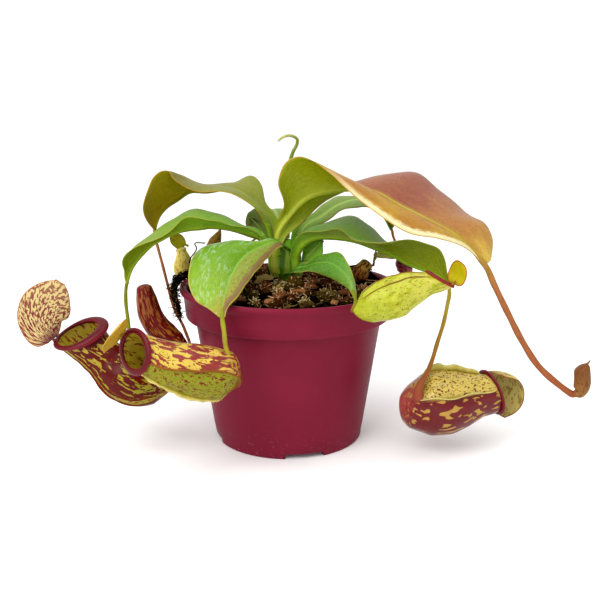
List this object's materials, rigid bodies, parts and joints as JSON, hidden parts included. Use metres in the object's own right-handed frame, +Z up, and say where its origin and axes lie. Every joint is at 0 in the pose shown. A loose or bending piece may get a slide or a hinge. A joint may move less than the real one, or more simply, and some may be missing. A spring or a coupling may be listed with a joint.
{
  "type": "potted pitcher plant",
  "caption": "Tropical pitcher plant in a round nursery pot: arching leaves whose tendrils carry hanging insect-trapping pitchers with lids.",
  "frame": {"origin": "middle of the whole plant's outline, seen from above, on the surface that the pot stands on", "axes": "+X to the right, along the plant's widest spread, -Y to the front, +Z up"},
  "size_m": [0.2996, 0.1562, 0.1682],
  "materials": {
    "pot_plastic": "satin moulded polypropylene, wine red",
    "peat": "loose damp peat and coir",
    "stem_green": "smooth waxy stem with clasping leaf bases",
    "leaf_green": "glossy leaf with a pale midrib",
    "leaf_bronze": "satin leaf, bronze green with an orange margin",
    "leaf_coppery": "satin young leaf, copper red over yellow green",
    "leaf_old": "dull old leaf with a dry tip",
    "tendril_green": "smooth round stalk, yellow green",
    "tendril_red": "smooth round stalk, orange brown",
    "pitcher_blotched": "waxy, yellow green with maroon blotches and a glossy red lip",
    "pitcher_green": "waxy, yellow green with fine red specks",
    "pitcher_red": "glossy, dark red with yellow blotches",
    "pitcher_pink": "waxy, pink over pale green",
    "bud_brown": "satin young pitcher bud with a dark tip",
    "pitcher_withered": "dry and papery",
    "lid_cream": "thin, cream with purple red streaks",
    "lid_golden": "thin, golden green with an orange edge",
    "bark": "rough broken bark",
    "dry_moss": "tangled dry fibres",
    "dead_leaf": "dry curled leaf"
  },
  "bodies": {
    "root": {"pot": "pot_plastic", "soil": "peat", "stem": "stem_green", "shoot": "leaf_green", "tall_right_leaf": "leaf_coppery", "high_left_leaf": "leaf_bronze", "low_left_leaf": "leaf_green", "front_left_leaf": "leaf_green", "front_small_leaf": "leaf_green", "low_right_leaf": "leaf_green", "back_right_leaf": "leaf_green", "back_leaf": "leaf_green", "old_left_leaf": "leaf_old", "inner_leaf": "leaf_green", "tall_right_tendril": "tendril_red", "high_left_tendril": "tendril_red", "low_left_tendril": "tendril_green", "front_left_tendril": "tendril_green", "front_small_tendril": "tendril_green", "low_right_tendril": "tendril_red", "back_right_tendril": "tendril_red", "back_tendril": "tendril_green", "low_left_pitcher": "pitcher_blotched", "front_left_pitcher": "pitcher_blotched", "front_small_pitcher": "pitcher_green", "low_right_pitcher": "pitcher_red", "high_left_pitcher": "pitcher_red", "tall_right_pitcher": "bud_brown", "back_right_pitcher": "pitcher_pink", "back_pitcher": "pitcher_green", "withered_right_pitcher": "pitcher_withered", "withered_left_pitcher": "pitcher_withered", "low_left_lid": "lid_cream", "front_left_lid": "lid_golden", "front_small_lid": "lid_golden", "low_right_lid": "lid_golden", "back_right_lid": "pitcher_pink", "back_lid": "pitcher_green", "withered_right_lid": "pitcher_withered", "bark_chip_1": "bark", "bark_chip_2": "bark", "bark_chip_3": "bark", "bark_chip_4": "bark", "bark_chip_5": "bark", "bark_chip_6": "bark", "moss_clump": "dry_moss", "dead_leaf_piece": "dead_leaf"}
  },
  "joints": []
}
